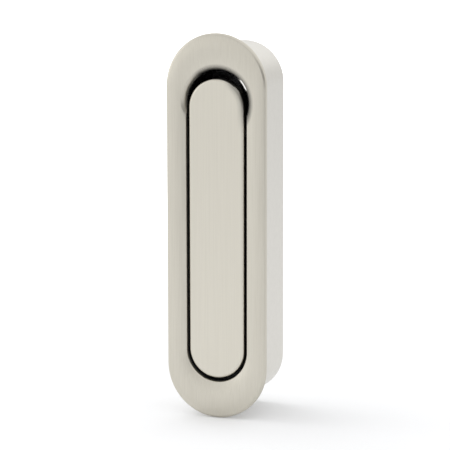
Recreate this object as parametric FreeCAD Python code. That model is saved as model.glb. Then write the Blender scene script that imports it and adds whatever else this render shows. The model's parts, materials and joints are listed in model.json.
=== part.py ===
# Pocket door edge pull: a cast housing let into the door's edge, with a lever that lies flush in it.
# Pressing the lever's upper end, in the finger scoop, swings its lower end out to be gripped.
# A torsion spring on the pivot pin brings the lever back against a ledge in the housing.
#
# Millimetres. x runs across the door's edge, y into the door and z up along the pull.
# The origin is the centre of the flange's seating plane, which meets the door's edge.

import FreeCAD
import Part
import math
import os

Vector = FreeCAD.Vector

# Lever
lever_width = 14.1
lever_length = 72.5
lever_thickness = 2.8
lever_edge_radius = 0.7
thumb_length = 13.0  # from the pivot up to the end that is pressed
lever_sink = 0.5  # its front behind the crest of the flange
open_angle = 70.0  # degrees from flush to fully out

# Running room round the lever
side_gap = 0.63
thumb_gap = 1.85
grip_gap = 0.85
stop_gap = 0.1
floor_gap = 0.3

# Housing
flange_thickness = 1.6  # at the crest of its crown
flange_lip = 2.75
crown_lean = 15.0  # degrees that the crown leans where it meets the rim
slot_drop = 0.65  # from the crest down to the slot's edge
rim_radius = 0.8
rim_back_chamfer = 0.5
slot_edge_radius = 0.5
side_wall = 2.32
end_wall = 6.15
floor_wall = 2.9
back_edge_chamfer = 0.3
flare_run = 1.7  # how far the scoop's mouth opens past the slot
flare_radius = 2.3
ledge_length = 4.0

# Screw holes through the floor, reached with the lever out
screw_hole_radius = 2.2
screw_head_radius = 3.9
screw_spacing = 25.0

# Pivot pin and the lever's lugs
pin_radius = 1.5
pin_seat_depth = 1.5
pin_seat_gap = 0.01
pin_sink = 0.2
pin_chamfer = 0.3
running_gap = 0.05
lug_thickness = 2.0
lug_inset = 0.6
lug_radius = 3.0
lug_root_radius = 0.8

# Return spring and the post that holds its fixed leg
wire_size = 0.8  # square wire
coil_radius = 2.4
coil_gap = 0.1
coil_turns = 2.25  # from the fixed leg, under the pin, to the moving leg in front of it
leg_gap = 0.05
lever_leg_length = 8.0
post_leg_spare = 1.2
post_width = 4.0
post_height = 3.0
post_rise = 7.0

# Places worked out from those sizes
slot_half = lever_width / 2 + side_gap
slot_length = lever_length + thumb_gap + grip_gap
slot_low = -slot_length / 2
slot_high = slot_length / 2
lever_low = slot_low + grip_gap
lever_high = slot_high - thumb_gap
body_half = slot_half + side_wall
body_high = slot_high + end_wall
flange_half = body_half + flange_lip
flange_high = body_high + flange_lip
round_high = flange_high - flange_half  # centre of the housing's round ends

lean = math.radians(crown_lean)
crown_half = flange_half - rim_radius * (1 - math.sin(lean))
crown_high = flange_high - flange_half + crown_half
band = crown_half - slot_half  # the crown is a parabola across this width, its crest in the middle
rim_drop = (band * math.tan(lean) - slot_drop) / 3
slot_lean = math.atan((3 * slot_drop + rim_drop) / band)
front_y = -flange_thickness
slot_edge_y = front_y + slot_drop
rim_start_y = front_y + rim_drop
lever_front_y = front_y + lever_sink
lever_back_y = lever_front_y + lever_thickness
pin_offset = coil_radius + wire_size / 2 + leg_gap
pin_y = lever_back_y + pin_offset
pin_z = lever_high - thumb_length
swing = math.radians(open_angle)
thumb_reach = thumb_length * math.sin(swing) - pin_offset * math.cos(swing)
floor_y = pin_y + thumb_reach + floor_gap
back_y = floor_y + floor_wall
pocket_low = slot_low + ledge_length
coil_pitch = wire_size + coil_gap
coil_width = coil_pitch * coil_turns


def stadium_wire(half_width, z_low, z_high, y):
    """The outline of a bar with round ends, standing along z, in one y plane."""
    low = z_low + half_width
    high = z_high - half_width
    corners = [(half_width, low), (half_width, high), (-half_width, high), (-half_width, low)]
    a, b, c, d = [Vector(x, y, z) for x, z in corners]
    edges = [
        Part.makeLine(a, b),
        Part.Arc(b, Vector(0, y, z_high), c).toShape(),
        Part.makeLine(c, d),
        Part.Arc(d, Vector(0, y, z_low), a).toShape(),
    ]
    return Part.Wire(edges)


def stadium_prism(half_width, z_low, z_high, y_from, y_to):
    """A bar with round ends between two y planes."""
    outline = stadium_wire(half_width, z_low, z_high, y_from)
    return Part.Face(outline).extrude(Vector(0, y_to - y_from, 0))


def stadium_sweep(section, round_z):
    """A half section in the x-y plane, carried along both sides and turned round both ends."""
    foot = section.translated(Vector(0, 0, -round_z))
    side = foot.extrude(Vector(0, 0, 2 * round_z))
    other_side = side.mirror(Vector(0, 0, 0), Vector(1, 0, 0))
    lower_end = foot.revolve(Vector(0, 0, -round_z), Vector(0, 1, 0), 180)
    upper_end = lower_end.mirror(Vector(0, 0, 0), Vector(0, 0, 1))
    return side.fuse([other_side, lower_end, upper_end]).removeSplitter()


def edges_in_plane(shape, y):
    """The edges of a shape that lie in one y plane."""
    return [e for e in shape.Edges if e.BoundBox.YLength < 1e-4 and abs(e.BoundBox.Center.y - y) < 1e-4]


def arc_point(x, y, radius, angle):
    """A point on a circle, its angle measured from -y, which is outwards, towards +x."""
    return Vector(x + radius * math.sin(angle), y - radius * math.cos(angle), 0)


def flange_plate():
    """The flange under its crown, with the rounded rim that the crown runs into."""
    rim_x = flange_half - rim_radius
    rim_y = rim_start_y + rim_radius * math.cos(lean)
    front_centre = Vector(0, slot_edge_y, 0)
    slot_corner = Vector(slot_half, slot_edge_y, 0)
    crown_end = arc_point(rim_x, rim_y, rim_radius, lean)
    rim_middle = arc_point(rim_x, rim_y, rim_radius, (lean + math.pi / 2) / 2)
    rim_end = Vector(flange_half, rim_y, 0)
    back_start = Vector(flange_half, -rim_back_chamfer, 0)
    back_end = Vector(flange_half - rim_back_chamfer, 0, 0)
    seat_centre = Vector(0, 0, 0)
    edges = [
        Part.makeLine(front_centre, slot_corner),
        Part.makeLine(slot_corner, crown_end),
        Part.Arc(crown_end, rim_middle, rim_end).toShape(),
        Part.makeLine(rim_end, back_start),
        Part.makeLine(back_start, back_end),
        Part.makeLine(back_end, seat_centre),
        Part.makeLine(seat_centre, front_centre),
    ]
    return stadium_sweep(Part.Face(Part.Wire(edges)), round_high)


def flange_crown():
    """The flange's pillowed front: a skin through the slot's edge, the crest and the rim, closed behind."""
    crest_half = (slot_half + crown_half) / 2
    crest_high = (slot_high + crown_high) / 2
    slot_edge = stadium_wire(slot_half, slot_low, slot_high, slot_edge_y)
    crest = stadium_wire(crest_half, -crest_high, crest_high, front_y)
    rim = stadium_wire(crown_half, -crown_high, crown_high, rim_start_y)
    skin = Part.makeLoft([slot_edge, crest, rim], False, False)
    to_seat = Vector(0, -rim_start_y, 0)
    wall = rim.extrude(to_seat)
    back = Part.Face(rim.translated(to_seat))
    shell = Part.makeShell(skin.Faces + wall.Faces + [back, Part.Face(slot_edge)])
    shell.sewShape()
    return Part.makeSolid(shell)


def mouth_cutter(radius, sweep, top_y, round_z):
    """What a rounded mouth takes away round the slot: an arc from the slot's wall out to top_y."""
    throat_y = top_y + radius * math.sin(sweep)
    mouth_x = slot_half + radius * (1 - math.cos(sweep))
    above_y = front_y - flange_thickness
    middle = arc_point(slot_half + radius, throat_y, radius, (sweep - math.pi) / 2)
    axis_top = Vector(0, above_y, 0)
    mouth_top = Vector(mouth_x, above_y, 0)
    mouth = Vector(mouth_x, top_y, 0)
    throat = Vector(slot_half, throat_y, 0)
    axis_throat = Vector(0, throat_y, 0)
    edges = [
        Part.makeLine(axis_top, mouth_top),
        Part.makeLine(mouth_top, mouth),
        Part.Arc(mouth, middle, throat).toShape(),
        Part.makeLine(throat, axis_throat),
        Part.makeLine(axis_throat, axis_top),
    ]
    section = Part.Face(Part.Wire(edges))
    if round_z:
        return stadium_sweep(section, round_z)
    return section.revolve(Vector(0, 0, 0), Vector(0, 1, 0), 360)


def screw_cutter(z):
    """A countersunk hole through the floor."""
    sink = screw_head_radius - screw_hole_radius
    hole = Part.makeCylinder(screw_hole_radius, floor_wall, Vector(0, floor_y, z), Vector(0, 1, 0))
    head = Part.makeCone(screw_head_radius, screw_hole_radius, sink, Vector(0, floor_y, z), Vector(0, 1, 0))
    return hole.fuse(head)


def spring_post():
    """A cast post on the floor, under the spring's fixed leg."""
    leg_x = coil_width / 2
    top_z = pin_z - pin_offset
    corner = Vector(leg_x - post_width / 2, floor_y - post_rise, top_z - post_height)
    return Part.makeBox(post_width, post_rise + floor_wall / 2, post_height, corner)


def make_housing():
    """One casting: flange, body, slot, deep pocket, stop ledge, scoop and its holes."""
    body = stadium_prism(body_half, -body_high, body_high, slot_edge_y, back_y)
    body = body.makeChamfer(back_edge_chamfer, edges_in_plane(body, back_y))
    shell = flange_plate().fuse([flange_crown(), body])
    slot_round_z = slot_high - slot_half
    edge_sweep = math.pi / 2 - slot_lean
    edge_rise = slot_edge_radius * (1 - math.cos(edge_sweep)) * math.tan(slot_lean)
    slot_edge = mouth_cutter(slot_edge_radius, edge_sweep, slot_edge_y - edge_rise, slot_round_z)
    flare_sweep = math.acos(1 - flare_run / flare_radius)
    scoop = mouth_cutter(flare_radius, flare_sweep, front_y, 0).translate(Vector(0, 0, slot_round_z))
    ledge_y = lever_back_y + stop_gap
    slot = stadium_prism(slot_half, slot_low, slot_high, front_y - flange_thickness, ledge_y)
    pocket = stadium_prism(slot_half, pocket_low, slot_high, front_y, floor_y)
    shell = shell.cut([slot_edge, scoop, slot, pocket])
    shell = shell.fuse(spring_post())
    seat_start = Vector(-body_half, pin_y, pin_z)
    seat_length = body_half + slot_half + pin_seat_depth
    pin_seat = Part.makeCylinder(pin_radius + pin_seat_gap, seat_length, seat_start, Vector(1, 0, 0))
    lower_screw_z = pocket_low + slot_half
    screws = [screw_cutter(lower_screw_z), screw_cutter(lower_screw_z + screw_spacing)]
    return shell.cut([pin_seat] + screws).removeSplitter()


def rounded_plate():
    """The lever's plate, its front edge rounded all the way round for the fingers."""
    plate = stadium_prism(lever_width / 2, lever_low, lever_high, lever_front_y, lever_back_y)
    return plate.makeFillet(lever_edge_radius, edges_in_plane(plate, lever_front_y))


def lug(x):
    """One pivot lug behind the plate: straight flanks with hollow roots and a round end."""
    root_z = lug_radius + lug_root_radius
    flank_y = lever_back_y + lug_root_radius
    hollow = lug_root_radius * (1 - math.sqrt(0.5))
    sunk_y = lever_back_y - lever_thickness / 4

    def at(y, z):
        return Vector(x, y, pin_z + z)

    middle_y = lever_back_y + hollow
    middle_z = lug_radius + hollow
    lower_root = [at(lever_back_y, -root_z), at(middle_y, -middle_z), at(flank_y, -lug_radius)]
    nose = [at(pin_y, -lug_radius), at(pin_y + lug_radius, 0), at(pin_y, lug_radius)]
    upper_root = [at(flank_y, lug_radius), at(middle_y, middle_z), at(lever_back_y, root_z)]
    sunk = [at(sunk_y, root_z), at(sunk_y, -root_z)]
    edges = [
        Part.Arc(*lower_root).toShape(),
        Part.makeLine(lower_root[2], nose[0]),
        Part.Arc(*nose).toShape(),
        Part.makeLine(nose[2], upper_root[0]),
        Part.Arc(*upper_root).toShape(),
        Part.makeLine(upper_root[2], sunk[0]),
        Part.makeLine(sunk[0], sunk[1]),
        Part.makeLine(sunk[1], lower_root[0]),
    ]
    return Part.Face(Part.Wire(edges)).extrude(Vector(lug_thickness, 0, 0))


def make_lever():
    """The flush lever: rounded plate, two lugs and the pin's bore through them."""
    lug_outer = lever_width / 2 - lug_inset
    lugs = [lug(-lug_outer), lug(lug_outer - lug_thickness)]
    bore_start = Vector(-lever_width / 2, pin_y, pin_z)
    bore = Part.makeCylinder(pin_radius + running_gap, lever_width, bore_start, Vector(1, 0, 0))
    return rounded_plate().fuse(lugs).cut(bore).removeSplitter()


def make_pivot_pin():
    """A straight pin with a lead-in, pushed in from one side and stopped by the blind seat on the other."""
    start = -body_half + pin_sink
    length = slot_half + pin_seat_depth - start
    pin = Part.makeCylinder(pin_radius, length, Vector(start, pin_y, pin_z), Vector(1, 0, 0))
    lead_in = [e for e in pin.Edges if e.BoundBox.XMin > 0]
    return pin.makeChamfer(pin_chamfer, lead_in)


def make_return_spring():
    """A coil of square wire round the pin, a fixed leg to the post and a moving leg behind the thumb end.

    It is wound about its own z axis from its own x axis, then laid along the pin.
    """
    half = wire_size / 2
    path = Part.makeHelix(coil_pitch, coil_width, coil_radius)
    corners = [(-half, -half), (half, -half), (half, half), (-half, half), (-half, -half)]
    section = Part.makePolygon([Vector(coil_radius + r, 0, z) for r, z in corners])
    winding = Part.BRepOffsetAPI.MakePipeShell(path)
    winding.setBiNormalMode(Vector(0, 0, 1))
    winding.add(section)
    winding.build()
    winding.makeSolid()
    fixed_length = floor_y - pin_y - post_leg_spare
    fixed_corner = Vector(coil_radius - half, -fixed_length, -half)
    fixed_leg = Part.makeBox(wire_size, fixed_length, wire_size, fixed_corner)
    moving_corner = Vector(-lever_leg_length, coil_radius - half, coil_width - half)
    moving_leg = Part.makeBox(lever_leg_length, wire_size, wire_size, moving_corner)
    spring = winding.shape().fuse([fixed_leg, moving_leg])
    along_pin = FreeCAD.Rotation(Vector(0, 0, -1), Vector(0, -1, 0), Vector(-1, 0, 0))
    spring.Placement = FreeCAD.Placement(Vector(coil_width / 2, pin_y, pin_z), along_pin)
    return spring


def main():
    os.makedirs("parts", exist_ok=True)
    pieces = {
        "housing": make_housing(),
        "lever": make_lever(),
        "pivot_pin": make_pivot_pin(),
        "return_spring": make_return_spring(),
    }
    for name, shape in pieces.items():
        print(name, len(shape.Solids), "solid, valid", shape.isValid(), f"{shape.Volume:.1f} mm3")
        shape.Solids[0].exportStep(f"parts/{name}.step")
    print(f"pivot at y {pin_y:.3f}, z {pin_z:.3f}; floor y {floor_y:.3f}, back y {back_y:.3f}")
    print(f"lower screw z {pocket_low + slot_half:.3f}")


main()
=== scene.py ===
# %% [markdown]
# A pocket door pull. It is let into the edge of a sliding door, so that the door can be drawn out of
# its pocket. The housing, the lever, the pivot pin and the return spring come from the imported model,
# in metres: x runs across the door's edge, y into the door and z up. This lesson gives each of them
# its finish, winds the spring again as two finer pieces, and sets up the studio.

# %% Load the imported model
import json
import math

import bpy
import numpy as np
from mathutils import Matrix, Vector


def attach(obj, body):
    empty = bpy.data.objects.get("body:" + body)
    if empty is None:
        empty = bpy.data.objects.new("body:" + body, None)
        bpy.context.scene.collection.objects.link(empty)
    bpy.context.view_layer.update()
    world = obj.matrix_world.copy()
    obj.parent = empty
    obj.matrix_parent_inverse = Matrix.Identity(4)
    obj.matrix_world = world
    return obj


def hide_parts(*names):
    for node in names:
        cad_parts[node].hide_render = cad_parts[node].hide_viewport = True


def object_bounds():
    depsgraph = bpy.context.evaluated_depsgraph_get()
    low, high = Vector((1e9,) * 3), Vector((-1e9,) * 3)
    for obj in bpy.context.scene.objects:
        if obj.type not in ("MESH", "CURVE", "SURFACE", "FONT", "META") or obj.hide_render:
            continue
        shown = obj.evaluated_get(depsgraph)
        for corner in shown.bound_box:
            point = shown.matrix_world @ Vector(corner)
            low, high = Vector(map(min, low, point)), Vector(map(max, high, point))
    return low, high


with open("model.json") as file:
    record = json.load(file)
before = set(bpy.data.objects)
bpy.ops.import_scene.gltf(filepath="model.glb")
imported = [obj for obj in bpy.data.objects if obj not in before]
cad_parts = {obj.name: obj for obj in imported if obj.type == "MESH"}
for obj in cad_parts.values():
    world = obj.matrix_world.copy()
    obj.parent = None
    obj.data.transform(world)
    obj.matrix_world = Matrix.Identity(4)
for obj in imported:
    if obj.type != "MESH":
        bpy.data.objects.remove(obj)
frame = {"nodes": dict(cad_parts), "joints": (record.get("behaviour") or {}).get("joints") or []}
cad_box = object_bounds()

MM = 0.001
scene = bpy.context.scene
housing = frame["nodes"]["housing"]
lever = frame["nodes"]["lever"]
pivot_pin = frame["nodes"]["pivot_pin"]
print("pieces:", sorted(frame["nodes"]), "box:", [[round(v, 4) for v in corner] for corner in cad_box])

# %% [markdown]
# The camera. The picture was taken from a little to the right of the pull and a little above its
# middle, with a long lens that hardly narrows the far side. A camera is placed by the direction that
# it looks from, its distance and its lens. The small shift slides the picture without turning the
# camera, which keeps upright edges upright.

# %% Place the camera
look_from_right = math.radians(21.596)
look_from_above = math.radians(8.995)
camera_roll = math.radians(-0.155)
camera_distance = 477.6 * MM
look_at = Vector((0, -0.55 * MM, 0))

towards_camera = Vector((
    math.sin(look_from_right) * math.cos(look_from_above),
    -math.cos(look_from_right) * math.cos(look_from_above),
    math.sin(look_from_above),
))
camera_data = bpy.data.cameras.new("camera")
camera_data.lens = 159.65
camera_data.sensor_width = 36
camera_data.shift_x = 0.0180
camera_data.shift_y = 0.0062
camera_data.clip_start = 0.01
camera = bpy.data.objects.new("camera", camera_data)
scene.collection.objects.link(camera)
turn = towards_camera.to_track_quat("Z", "Y").to_matrix().to_4x4()
place = Matrix.Translation(look_at + towards_camera * camera_distance)
camera.matrix_world = place @ turn @ Matrix.Rotation(camera_roll, 4, "Z")
scene.camera = camera
print("camera at", [round(v, 3) for v in camera.matrix_world.translation])

# %% [markdown]
# Helpers for node trees. Every finish below is a small network of shader nodes. These helpers add a
# node, set its unlinked sockets and join the linked ones, so that each finish reads as a short list.


# %% Node helpers
def add_node(tree, kind, settings=None, **sockets):
    """A node of one kind.

    Settings are its options. A socket is given a value, or another node's socket to be joined to.
    In the sockets' names _0 is the first socket and so on, and other underscores stand for spaces.
    """
    node = tree.nodes.new(kind)
    for option, value in (settings or {}).items():
        setattr(node, option, value)
    for name, value in sockets.items():
        key = int(name[1:]) if name[0] == "_" else name.replace("_", " ")
        if isinstance(value, bpy.types.NodeSocket):
            tree.links.new(value, node.inputs[key])
        else:
            node.inputs[key].default_value = value
    return node


def work_out(tree, operation, *values):
    """One sum on numbers: a Math node's result."""
    sockets = {f"_{place}": value for place, value in enumerate(values)}
    return add_node(tree, "ShaderNodeMath", {"operation": operation}, **sockets).outputs[0]


def work_out_vector(tree, operation, *values):
    """One sum on vectors: a Vector Math node's outputs, a vector at 0 and a number under Value."""
    sockets = {f"_{place}": value for place, value in enumerate(values)}
    return add_node(tree, "ShaderNodeVectorMath", {"operation": operation}, **sockets).outputs


def ramp_between(tree, value, low, high, slope="SMOOTHSTEP"):
    """0 at low, 1 at high, held past both, and an S-shaped or LINEAR slope between them."""
    settings = {"interpolation_type": slope}
    sockets = {"Value": value, "From_Min": low, "From_Max": high}
    return add_node(tree, "ShaderNodeMapRange", settings, **sockets).outputs["Result"]


def mix_colours(tree, share, first, second):
    """First where share is 0, second where it is 1."""
    settings = {"data_type": "RGBA"}
    return add_node(tree, "ShaderNodeMix", settings, _0=share, _6=first, _7=second).outputs[2]


def mix_values(tree, share, first, second):
    """The same for two numbers."""
    settings = {"data_type": "FLOAT"}
    return add_node(tree, "ShaderNodeMix", settings, _0=share, _2=first, _3=second).outputs[0]


print("node helpers ready")

# %% [markdown]
# Helpers for groups and finishes. A node group is a small network with its own inputs and outputs. It
# is built once and then placed in each finish that uses it, with other values.


# %% Group and finish helpers
def new_group(name, inputs, outputs):
    """An empty node group with named inputs, each with its usual value, and named outputs."""
    group = bpy.data.node_groups.new(name, "ShaderNodeTree")
    for label, kind, usual in inputs:
        socket = group.interface.new_socket(label, in_out="INPUT", socket_type=kind)
        socket.default_value = usual
    for label, kind in outputs:
        group.interface.new_socket(label, in_out="OUTPUT", socket_type=kind)
    entry = group.nodes.new("NodeGroupInput")
    leave = group.nodes.new("NodeGroupOutput")
    return group, entry, leave


def place_group(tree, group, **inputs):
    """A group placed in a tree with its own values: its outputs, by name."""
    return add_node(tree, "ShaderNodeGroup", {"node_tree": group}, **inputs).outputs


def new_finish(name):
    """A material with one Principled BSDF, and its node tree."""
    material = bpy.data.materials.new(name)
    material.use_nodes = True
    return material, material.node_tree, material.node_tree.nodes["Principled BSDF"]


def join_finish(tree, shader, colour, roughness, normal):
    """Join a finish's colour, roughness and normal to its shader."""
    for name, value in (("Base Color", colour), ("Roughness", roughness), ("Normal", normal)):
        tree.links.new(value, shader.inputs[name])


def dress(piece, finish):
    """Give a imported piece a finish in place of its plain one."""
    piece.data.materials.clear()
    piece.data.materials.append(finish)


print("group and finish helpers ready")

# %% [markdown]
# The brushed grain. Satin nickel gets its soft look from an abrasive belt, which leaves fine, long,
# nearly parallel scratches. Noise that is squeezed across the grain and stretched along it looks
# like that. The group gives the scratches and a broader unevenness, which the spring's temper colours
# follow. It is a group because the housing, the lever, the pin and the spring each use it at their own
# scale. The bump lets light catch on the scratches.

# %% Brushed grain group
FLOAT = "NodeSocketFloat"
VECTOR = "NodeSocketVector"
usual_stretch = (3000.0, 3000.0, 40.0)
broader = (0.12, 0.12, 0.12)
bump_strength = 0.12
bump_depth = 0.02 * MM

grain_group, entry, leave = new_group(
    "brushed_grain",
    [("Stretch", VECTOR, usual_stretch)],
    [("Scratches", FLOAT), ("Unevenness", FLOAT)],
)
place_on_piece = add_node(grain_group, "ShaderNodeTexCoord").outputs["Object"]
fine = work_out_vector(grain_group, "MULTIPLY", place_on_piece, entry.outputs["Stretch"])[0]
broad = work_out_vector(grain_group, "MULTIPLY", fine, broader)[0]
scratches = add_node(grain_group, "ShaderNodeTexNoise", Vector=fine, Scale=1.0, Detail=3.0, Roughness=0.6)
unevenness = add_node(grain_group, "ShaderNodeTexNoise", Vector=broad, Scale=1.0, Detail=2.0, Roughness=0.5)
grain_group.links.new(scratches.outputs[0], leave.inputs["Scratches"])
grain_group.links.new(unevenness.outputs[0], leave.inputs["Unevenness"])


def fine_bump(tree, height):
    """A normal that follows a fine relief: scratches or the skin of a casting."""
    settings = {"Strength": bump_strength, "Distance": bump_depth, "Height": height}
    return add_node(tree, "ShaderNodeBump", **settings).outputs[0]


print("group:", grain_group.name)

# %% [markdown]
# The distance from a round-ended outline. The slot, the lever and the flange are all bars with round
# ends. How far a point lies outside such an outline is its distance from the bar's middle line, less
# half the width. The housing uses it to find the pocket, and the lever to find its own edge.

# %% Round-ended outline group
outline_group, entry, leave = new_group(
    "round_ended_outline",
    [("Half Width", FLOAT, 7 * MM), ("Low Centre", FLOAT, -30 * MM), ("High Centre", FLOAT, 30 * MM)],
    [("Distance", FLOAT), ("Across", FLOAT), ("Depth", FLOAT), ("Height", FLOAT)],
)
place_on_piece = add_node(outline_group, "ShaderNodeTexCoord").outputs["Object"]
x, y, z = add_node(outline_group, "ShaderNodeSeparateXYZ", Vector=place_on_piece).outputs
above = work_out(outline_group, "SUBTRACT", z, entry.outputs["High Centre"])
below = work_out(outline_group, "SUBTRACT", entry.outputs["Low Centre"], z)
past_end = work_out(outline_group, "MAXIMUM", work_out(outline_group, "MAXIMUM", above, below), 0.0)
across_squared = work_out(outline_group, "MULTIPLY", x, x)
past_end_squared = work_out(outline_group, "MULTIPLY", past_end, past_end)
squares = work_out(outline_group, "ADD", across_squared, past_end_squared)
from_middle = work_out(outline_group, "SQRT", squares)
distance = work_out(outline_group, "SUBTRACT", from_middle, entry.outputs["Half Width"])
for label, value in (("Distance", distance), ("Across", x), ("Depth", y), ("Height", z)):
    outline_group.links.new(value, leave.inputs[label])
print("group:", outline_group.name)

# %% [markdown]
# The housing's finish, first where its parts lie. The housing is one casting, so one material covers
# all of it. Masks tell its parts apart: numbers that are 1 on a part, 0 off it and in between along
# its edge, so each pair of limits below says where a mask starts and where it is full. Depth tells the
# flange from the body behind it, and the slot's outline finds the pocket.

# %% Parts of the housing
slot_half = 7.68 * MM
slot_round = 29.92 * MM
pocket_floor = 16.09 * MM
flange_to_body = (-0.25 * MM, 0.05 * MM)
slot_to_body = (0.25 * MM, 0.6 * MM)
slot_to_flange = (0.02 * MM, 0.3 * MM)
edge_to_wall = (-0.5 * MM, -0.15 * MM)
floor_to_back = (pocket_floor + 1.0 * MM, pocket_floor + 1.6 * MM)

satin_nickel, tree, shader = new_finish("satin_nickel")
slot = place_group(
    tree, outline_group, Half_Width=slot_half, Low_Centre=-slot_round, High_Centre=slot_round
)
behind_flange = ramp_between(tree, slot["Depth"], *flange_to_body)
past_floor = ramp_between(tree, slot["Depth"], *floor_to_back)
outside_slot = ramp_between(tree, slot["Distance"], *slot_to_body)
outside_pocket = work_out(tree, "MAXIMUM", outside_slot, past_floor)
on_body = work_out(tree, "MULTIPLY", behind_flange, outside_pocket)
in_slot = work_out(tree, "SUBTRACT", 1.0, ramp_between(tree, slot["Distance"], *slot_to_flange))
past_edge = ramp_between(tree, slot["Depth"], *edge_to_wall)
on_slot_wall = work_out(tree, "MULTIPLY", in_slot, past_edge)
print("parts of the housing: flange, body, slot and back")

# %% [markdown]
# The painted shade of the pocket: a black painted where the pocket and the finger scoop, the hollow
# above the lever, lie in shade and mirror dark things, which hides the mechanism. It runs out of the
# slot into the scoop and fades towards the flange. It covers the top and the right of the scoop, reaches
# a little further out on the right, and only tints the left flank. The scoop's outline is the slot's upper
# end alone, a circle.

# %% Painted shade of the pocket
# Painted shade: a black where the pocket and the scoop lie in shade and mirror dark things.
painted_shade_fade = (1.65 * MM, 0.3 * MM)
painted_shade_lean = -0.035
left_flank = (-6.8 * MM, -4.0 * MM)
left_flank_shade_share = 0.3

scoop = place_group(
    tree, outline_group, Half_Width=slot_half, Low_Centre=slot_round, High_Centre=slot_round
)
leaning = work_out(tree, "MULTIPLY_ADD", scoop["Across"], painted_shade_lean, scoop["Distance"])
into_scoop = ramp_between(tree, leaning, *painted_shade_fade, "LINEAR")
right_of_flank = ramp_between(tree, scoop["Across"], *left_flank)
flank_shade_share = mix_values(tree, right_of_flank, left_flank_shade_share, 1.0)
in_scoop = work_out(tree, "MULTIPLY", into_scoop, flank_shade_share)
painted_shade_mask = work_out(tree, "MAXIMUM", on_slot_wall, in_scoop)
print("black fades over", round((painted_shade_fade[0] - painted_shade_fade[1]) / MM, 2), "mm")

# %% [markdown]
# A short streak on the scoop's right flank is a painted glint: a near-white painted highlight in the
# painted shade, with a low roughness and a normal that makes it look ground flatter than the flank
# round it. Ramps along its height, its width and its side are multiplied, which leaves one small patch
# with soft edges. The housing's back stays bright as well, so the painted shade ends at the floor.

# %% Painted glint
# Painted glint: a painted highlight on the scoop's right flank.
streak_foot = (32.8 * MM, 33.6 * MM)
streak_head = (36.0 * MM, 35.2 * MM)
streak_inside = (-0.05 * MM, 0.05 * MM)
streak_outside = (0.95 * MM, 0.8 * MM)
streak_side = (3.0 * MM, 4.0 * MM)

streak_limits = (
    ("Height", streak_foot),
    ("Height", streak_head),
    ("Distance", streak_inside),
    ("Distance", streak_outside),
    ("Across", streak_side),
)
painted_glint = work_out(tree, "SUBTRACT", 1.0, past_floor)
for measure, limits in streak_limits:
    painted_glint = work_out(tree, "MULTIPLY", painted_glint, ramp_between(tree, scoop[measure], *limits))
left_bright = work_out(tree, "MAXIMUM", painted_glint, past_floor)
in_pocket = work_out(tree, "MULTIPLY", painted_shade_mask, work_out(tree, "SUBTRACT", 1.0, left_bright))
print("streak limits:", [measure for measure, limits in streak_limits])

# %% [markdown]
# The housing's colours. The flange that shows on the door is brushed and plated warm satin nickel, a
# little darker in the scratches. The body behind it goes into the door and is only plated, so it is
# paler, more neutral and shows the faintly clouded skin of the casting instead of grain. The painted
# shade of the pocket is near black and clouded a little by the same skin.

# %% Housing colours
nickel = (0.617, 0.588, 0.514, 1)
nickel_scratch = (0.552, 0.523, 0.451, 1)
# A painted highlight colour, for the painted glint.
painted_glint_colour = (0.97, 0.96, 0.93, 1)
plated_body = (0.687, 0.667, 0.618, 1)
plated_cloud = (0.674, 0.655, 0.607, 1)
# A painted shade colour for the pocket, and its slightly lighter clouded variant.
painted_pocket_shade = (0.007, 0.007, 0.008, 1)
painted_shade_cloud = (0.018, 0.018, 0.017, 1)
flange_grain = (5200.0, 5200.0, 70.0)
belt_marks = (0.35, 0.75)
flange_mark_share = 0.55
skin_clouds = (0.35, 0.7)

grain = place_group(tree, grain_group, Stretch=flange_grain)
belt_mark = ramp_between(tree, grain["Scratches"], *belt_marks)
mark_share = work_out(tree, "MULTIPLY", belt_mark, flange_mark_share)
flange_colour = mix_colours(tree, mark_share, nickel, nickel_scratch)
on_casting = add_node(tree, "ShaderNodeTexCoord").outputs["Object"]
cast_skin = add_node(tree, "ShaderNodeTexNoise", Vector=on_casting, Scale=700.0, Detail=4.0).outputs[0]
clouds = ramp_between(tree, cast_skin, *skin_clouds)
body_colour = mix_colours(tree, clouds, plated_body, plated_cloud)
painted_shade_colour = mix_colours(tree, clouds, painted_pocket_shade, painted_shade_cloud)
outside_colour = mix_colours(tree, on_body, flange_colour, body_colour)
bright_colour = mix_colours(tree, painted_glint, outside_colour, painted_glint_colour)
colour = mix_colours(tree, in_pocket, bright_colour, painted_shade_colour)
print("colours for the flange, the body, the streak and the pocket")

# %% [markdown]
# The housing's surface. The painted shade is glossy in the scoop and matt further down, where a gloss
# would mirror the light from the screw holes in the gaps beside the lever. The scratches on the flange
# and, half as deep, the skin elsewhere are a bump. In the painted glint the normal is turned towards
# the front, so that it mirrors what stands there. Metal is what isn't painted shade.

# %% Housing surface
satin_roughness = (0.24, 0.40)
plated_roughness = (0.28, 0.36)
glint_roughness = 0.1
matt_roughness = 0.8
gloss_roughness = 0.22
slot_to_scoop = (22.0 * MM, 27.0 * MM)
skin_share = 0.5
streak_turn = (0.0, -0.8, 0.0)

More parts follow.
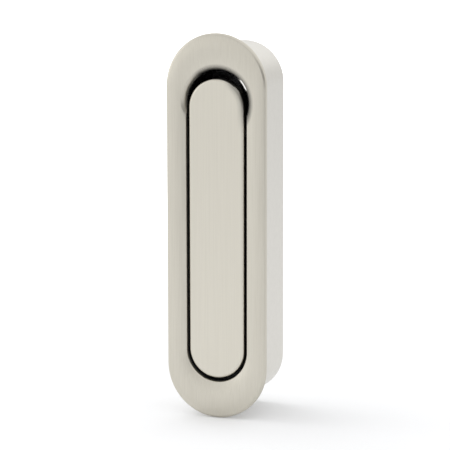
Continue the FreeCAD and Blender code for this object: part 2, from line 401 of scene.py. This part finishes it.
satin = mix_values(tree, grain["Scratches"], *satin_roughness)
plated = mix_values(tree, cast_skin, *plated_roughness)
outside_roughness = mix_values(tree, on_body, satin, plated)
bright_roughness = mix_values(tree, painted_glint, outside_roughness, glint_roughness)
up_in_scoop = ramp_between(tree, slot["Height"], *slot_to_scoop)
pocket_roughness = mix_values(tree, up_in_scoop, matt_roughness, gloss_roughness)
roughness = mix_values(tree, in_pocket, bright_roughness, pocket_roughness)
unbrushed_or_painted_shade = work_out(tree, "MAXIMUM", on_body, in_pocket)
skin = work_out(tree, "MULTIPLY", cast_skin, skin_share)
relief = fine_bump(tree, mix_values(tree, unbrushed_or_painted_shade, grain["Scratches"], skin))
to_front = work_out_vector(tree, "MULTIPLY", streak_turn, painted_glint)[0]
turned = work_out_vector(tree, "ADD", relief, to_front)[0]
normal = work_out_vector(tree, "NORMALIZE", turned)[0]
join_finish(tree, shader, colour, roughness, normal)
tree.links.new(work_out(tree, "SUBTRACT", 1.0, in_pocket), shader.inputs["Metallic"])
dress(housing, satin_nickel)
print("finish:", satin_nickel.name)

# %% [markdown]
# The lever's finish. It is brushed on the same belt as the flange, but as a flat bar, so its grain is
# straighter and its front a shade lighter. Its sides and back are painted dark, a painted shade for the
# gaps they stand in. So is the right edge of its thumb end, a painted shade that fades in over its last 1.7
# mm.

# %% Lever finish
lever_half = 7.05 * MM
lever_low_round = -29.7 * MM
lever_high_round = 28.7 * MM
lever_front = -1.1 * MM
front_to_side = (lever_front + 0.2 * MM, lever_front + 0.8 * MM)
# Painted shade along the right edge of the thumb end.
thumb_shade_fade = (-1.7 * MM, 0.0)
thumb_end = (22 * MM, 30 * MM)
thumb_right = (1.8 * MM, 4.5 * MM)
lever_nickel = (0.67, 0.64, 0.56, 1)
lever_scratch = (0.60, 0.57, 0.497, 1)
# A painted shade colour, for the lever's sides and back and its thumb edge.
painted_lever_shade = (0.30, 0.29, 0.26, 1)
lever_grain = (5200.0, 5200.0, 45.0)
lever_mark_share = 0.35

satin_lever, tree, shader = new_finish("satin_nickel_lever")
grain = place_group(tree, grain_group, Stretch=lever_grain)
bar = place_group(
    tree, outline_group, Half_Width=lever_half, Low_Centre=lever_low_round, High_Centre=lever_high_round
)
side_and_back = ramp_between(tree, bar["Depth"], *front_to_side)
thumb_edge = ramp_between(tree, bar["Distance"], *thumb_shade_fade, "LINEAR")
for measure, limits in (("Height", thumb_end), ("Across", thumb_right)):
    thumb_edge = work_out(tree, "MULTIPLY", thumb_edge, ramp_between(tree, bar[measure], *limits))
unbrushed_or_painted_shade = work_out(tree, "MAXIMUM", side_and_back, thumb_edge)
belt_mark = ramp_between(tree, grain["Scratches"], *belt_marks)
mark_share = work_out(tree, "MULTIPLY", belt_mark, lever_mark_share)
front_colour = mix_colours(tree, mark_share, lever_nickel, lever_scratch)
colour = mix_colours(tree, unbrushed_or_painted_shade, front_colour, painted_lever_shade)
roughness = mix_values(tree, grain["Scratches"], *satin_roughness)
join_finish(tree, shader, colour, roughness, fine_bump(tree, grain["Scratches"]))
shader.inputs["Metallic"].default_value = 1.0
dress(lever, satin_lever)
print("finish:", satin_lever.name)

# %% [markdown]
# The pin's finish. The pin is drawn steel rod, ground between wheels, so its grain runs round it and
# the noise is squeezed along x.

# %% Pin finish
pin_grain = (9000.0, 500.0, 500.0)
pin_dark = (0.52, 0.52, 0.53, 1)
pin_bright = (0.64, 0.64, 0.64, 1)
pin_roughness = (0.18, 0.34)

ground_steel, tree, shader = new_finish("pin_steel")
grain = place_group(tree, grain_group, Stretch=pin_grain)
colour = mix_colours(tree, grain["Scratches"], pin_dark, pin_bright)
roughness = mix_values(tree, grain["Scratches"], *pin_roughness)
join_finish(tree, shader, colour, roughness, fine_bump(tree, grain["Scratches"]))
shader.inputs["Metallic"].default_value = 1.0
dress(pivot_pin, ground_steel)
print("finish:", ground_steel.name)

# %% [markdown]
# The spring's finish. The spring is hardened wire with the faint blue and brown of its heat treatment,
# in patches that are broader than its scratches.

# %% Spring finish
wire_grain = (4000.0, 900.0, 900.0)
temper_patches = (0.35, 0.65)
temper_blue = (0.36, 0.37, 0.42, 1)
temper_brown = (0.45, 0.41, 0.36, 1)
wire_roughness = (0.25, 0.45)

spring_wire, tree, shader = new_finish("spring_steel")
grain = place_group(tree, grain_group, Stretch=wire_grain)
tempered = ramp_between(tree, grain["Unevenness"], *temper_patches)
colour = mix_colours(tree, tempered, temper_blue, temper_brown)
roughness = mix_values(tree, grain["Scratches"], *wire_roughness)
join_finish(tree, shader, colour, roughness, fine_bump(tree, grain["Scratches"]))
shader.inputs["Metallic"].default_value = 1.0
print("finish:", spring_wire.name)

# %% [markdown]
# The return spring. On the bench it is one length of square wire: a fixed leg that rests on a post in
# the pocket, a coil of two and a quarter turns round the pin, and a moving leg that lies behind the
# lever's thumb end. A curve with a bevel would do, but its section can twist along the way. Here the
# wire is a section carried along a path, worked out as one grid of points, and it stays square to the
# pin.


# %% Wire swept along a path
def sweep_wire(name, centres, outwards, half_size, around=28):
    """A closed skin of wire.

    Each section is a rounded square, the curve |u|^4 + |v|^4 = half_size^4, with u along the
    outward direction of that point of the path and v along x, the pin's direction.
    """
    t = np.linspace(0, 2 * np.pi, around, endpoint=False)
    u = half_size * np.sign(np.cos(t)) * np.sqrt(np.abs(np.cos(t)))
    v = half_size * np.sign(np.sin(t)) * np.sqrt(np.abs(np.sin(t)))
    along_pin = np.array([1.0, 0.0, 0.0])
    points = centres[:, None, :] + u[None, :, None] * outwards[:, None, :] + v[None, :, None] * along_pin
    rows = len(centres)
    ring = np.arange(around)
    first = (np.arange(rows - 1)[:, None] * around + ring).ravel()
    beside = (np.arange(rows - 1)[:, None] * around + (ring + 1) % around).ravel()
    quads = np.stack([first, beside, beside + around, first + around], axis=1).tolist()
    caps = [ring[::-1].tolist(), (ring + (rows - 1) * around).tolist()]
    mesh = bpy.data.meshes.new(name)
    mesh.from_pydata(points.reshape(-1, 3), [], quads + caps)
    mesh.shade_smooth()
    piece = bpy.data.objects.new(name, mesh)
    scene.collection.objects.link(piece)
    return piece


print("wire helper ready")

# %% [markdown]
# The spring's path. A plain coil moves evenly along the pin. This one steps sideways near its end and
# then stays level, which leaves the moving leg room beside the turn before it when the lever is out.

# %% Path of the spring
pin_middle = np.array(frame["joints"][0]["pos_m"])
coil_radius = 2.4 * MM
coil_pitch = 0.84 * MM
full_turn = math.radians(810)
step_start = math.radians(565)
step_end = math.radians(737)
slow_rise = coil_pitch * step_start / (2 * math.pi)
coil_width = slow_rise + coil_pitch
steps_per_radian = 24
leg_points = 12


def spring_path(turn_from, turn_to, lead_in, lead_out):
    """Points along the wire, and the outward direction at each.

    Turning angles start under the pin and go round its front. At an angle the wire lies at
    coil_radius from the pin's middle. Each full turn moves it one pitch towards -x, up to
    step_start. It moves one more pitch by step_end and then stays level. Straight legs lead in
    along -y and out along +z.
    """
    angle = np.linspace(turn_from, turn_to, int(steps_per_radian * (turn_to - turn_from)) + 2)
    radial = np.stack([np.zeros_like(angle), -np.sin(angle), -np.cos(angle)], axis=1)
    shift = coil_width / 2 - np.interp(angle, (0, step_start, step_end), (0, slow_rise, coil_width))
    along = np.stack([shift, np.zeros_like(angle), np.zeros_like(angle)], axis=1)
    centres = pin_middle + along + coil_radius * radial
    if lead_in:
        leg = np.linspace(lead_in, 0, leg_points, endpoint=False)[:, None] * np.array([0.0, 1.0, 0.0])
        centres = np.concatenate([centres[0] + leg, centres])
        radial = np.concatenate([np.repeat(radial[:1], len(leg), axis=0), radial])
    if lead_out:
        leg = np.linspace(0, lead_out, leg_points)[1:, None] * np.array([0.0, 0.0, 1.0])
        centres = np.concatenate([centres, centres[-1] + leg])
        radial = np.concatenate([radial, np.repeat(radial[-1:], len(leg), axis=0)])
    return centres, radial


print("coil is", round(coil_width / MM, 2), "mm wide between the middles of its ends")

# %% [markdown]
# Winding the spring. When the real lever turns, the coil winds up. Here the spring is two pieces, so
# that the moving leg can turn with the lever. Its tail is a hair thicker than the coil's level end,
# encloses it and slides along it.

# %% Wind the spring
wire_half = 0.4 * MM
tail_growth = 1.02
fixed_leg = 10.34 * MM
moving_leg = 8.0 * MM

spring_coil = sweep_wire("spring_coil", *spring_path(0, full_turn, fixed_leg, 0), wire_half)
leg_path = spring_path(step_end, full_turn, 0, moving_leg)
spring_leg = sweep_wire("spring_moving_leg", *leg_path, wire_half * tail_growth)
for piece in (spring_coil, spring_leg):
    piece.data.materials.append(spring_wire)
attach(spring_coil, "housing")
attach(spring_leg, "lever")
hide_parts("return_spring")
print("spring:", len(spring_coil.data.vertices), "and", len(spring_leg.data.vertices), "points")

# %% [markdown]
# The floor. The pull stands on its round end on a large white sheet, which is one flat face at the
# height of the pull's lowest point.

# %% White floor
floor_level = cad_box[0][2]
reach = 6.0
grid = np.array([(-reach, -reach), (reach, -reach), (reach, reach), (-reach, reach)])
corners = np.column_stack([grid, np.full(4, floor_level)])
floor_mesh = bpy.data.meshes.new("floor")
floor_mesh.from_pydata(corners, [], [(0, 1, 2, 3)])
floor = bpy.data.objects.new("floor", floor_mesh)
scene.collection.objects.link(floor)
print("floor at", round(floor_level, 4))

# %% [markdown]
# The floor's finish. It is matt and takes the shadow. For the camera it also glows, faintly round the
# pull and more the farther away, so that it passes into a white background with no edge. More light
# would do that too, but it would bleach the metal. Reflections see a small glow, most of it close by in
# front, which lightens the pull's lower end.

# %% Floor finish
white = (1, 1, 1, 1)
sheet_white = (0.815, 0.82, 0.83, 1)
near_glow = 0.12
far_glow = 1.0
mirrored_near_glow = 0.12
mirrored_far_glow = 0.05
near_to_far = (0.06, 0.4)
front_to_behind = (0.0, 0.04)

white_sheet = bpy.data.materials.new("white_sheet")
white_sheet.use_nodes = True
tree = white_sheet.node_tree
tree.nodes.clear()
matt = add_node(tree, "ShaderNodeBsdfDiffuse", Color=sheet_white)
place_on_floor = add_node(tree, "ShaderNodeTexCoord").outputs["Object"]
from_pull = work_out_vector(tree, "LENGTH", place_on_floor)["Value"]
fade = ramp_between(tree, from_pull, *near_to_far)
depth_on_floor = add_node(tree, "ShaderNodeSeparateXYZ", Vector=place_on_floor).outputs["Y"]
behind_pull = ramp_between(tree, depth_on_floor, *front_to_behind)
away = work_out(tree, "MAXIMUM", fade, behind_pull)
path = add_node(tree, "ShaderNodeLightPath")
mirrored_glow = mix_values(tree, away, mirrored_near_glow, mirrored_far_glow)
mirrored = work_out(tree, "MULTIPLY", path.outputs["Is Glossy Ray"], mirrored_glow)
seen = mix_values(tree, fade, near_glow, far_glow)
strength = mix_values(tree, path.outputs["Is Camera Ray"], mirrored, seen)
glow = add_node(tree, "ShaderNodeEmission", Color=white, Strength=strength)
both = add_node(tree, "ShaderNodeAddShader", _0=matt.outputs[0], _1=glow.outputs[0])
add_node(tree, "ShaderNodeOutputMaterial", Surface=both.outputs[0])
floor_mesh.materials.append(white_sheet)
print("finish:", white_sheet.name)

# %% [markdown]
# The light tent. A white tent surrounds the pull. It is brighter on the left and high up behind, a
# little dimmer up in front and low behind, and has a dim opening to the right of the camera. Metal
# shows its surroundings, so the faces of the crowned flange that lean left look lighter and the ones
# that lean right darker. A part of the tent is a side to look towards, with the cosines at which the
# part starts and is full. The camera itself sees plain white.

# %% Light tent
left_side = (-0.9, -0.35, -0.15)
back_side = (0.1, 0.95, 0.3)
front_top = (-0.3, -0.75, 0.6)
opening = (0.76, -0.64, 0.0)
straight_up = (0.0, 0.0, 1.0)
left_spread = (0.45, 1.0)
back_spread = (0.5, 0.95)
front_top_spread = (0.76, 0.97)
opening_spread = (0.55, 0.93)
low_back = (0.36, 0.14)
low_opening = (0.65, 0.2)
plain_light = 1.02
left_light = 1.55
back_light = 1.15
low_back_light = 0.84
front_top_light = 0.86
opening_light = 0.28
seen_light = 1.0

tent = bpy.data.worlds.new("light_tent")
tent.use_nodes = True
scene.world = tent
tree = tent.node_tree
tree.nodes.clear()
direction = add_node(tree, "ShaderNodeTexCoord").outputs["Generated"]


def tent_part(side, limits):
    """A mask for a part of the tent, by the cosine between a direction and the part's side."""
    cosine = work_out_vector(tree, "DOT_PRODUCT", direction, Vector(side).normalized())["Value"]
    return ramp_between(tree, cosine, *limits)


in_back = tent_part(back_side, back_spread)
in_low_back = work_out(tree, "MULTIPLY", in_back, tent_part(straight_up, low_back))
in_opening = tent_part(opening, opening_spread)
in_low_opening = work_out(tree, "MULTIPLY", in_opening, tent_part(straight_up, low_opening))
tent_light = mix_values(tree, tent_part(left_side, left_spread), plain_light, left_light)
tent_light = mix_values(tree, in_back, tent_light, back_light)
tent_light = mix_values(tree, in_low_back, tent_light, low_back_light)
tent_light = mix_values(tree, tent_part(front_top, front_top_spread), tent_light, front_top_light)
tent_light = mix_values(tree, in_low_opening, tent_light, opening_light)
path = add_node(tree, "ShaderNodeLightPath")
strength = mix_values(tree, path.outputs["Is Camera Ray"], tent_light, seen_light)
background = add_node(tree, "ShaderNodeBackground", Color=white, Strength=strength)
add_node(tree, "ShaderNodeOutputWorld", Surface=background.outputs[0])
print("tent:", tent.name)

# %% [markdown]
# The lamp. A large soft lamp up on the left throws the pale shadow on the floor to the right. It is
# hidden from reflections, so that the metal shows the tent and the floor alone.

# %% Soft lamp
lamp_place = Vector((-0.35, 0.10, 0.60))
lamp_size = 0.5
lamp_power = 1.2

lamp_data = bpy.data.lights.new("soft_lamp_left", "AREA")
lamp_data.size = lamp_size
lamp_data.energy = lamp_power
lamp = bpy.data.objects.new("soft_lamp_left", lamp_data)
lamp.location = lamp_place
lamp.rotation_euler = lamp_place.to_track_quat("Z", "Y").to_euler()
lamp.visible_glossy = False
scene.collection.objects.link(lamp)
scene.view_settings.view_transform = "Standard"
print("lamp:", lamp.name)
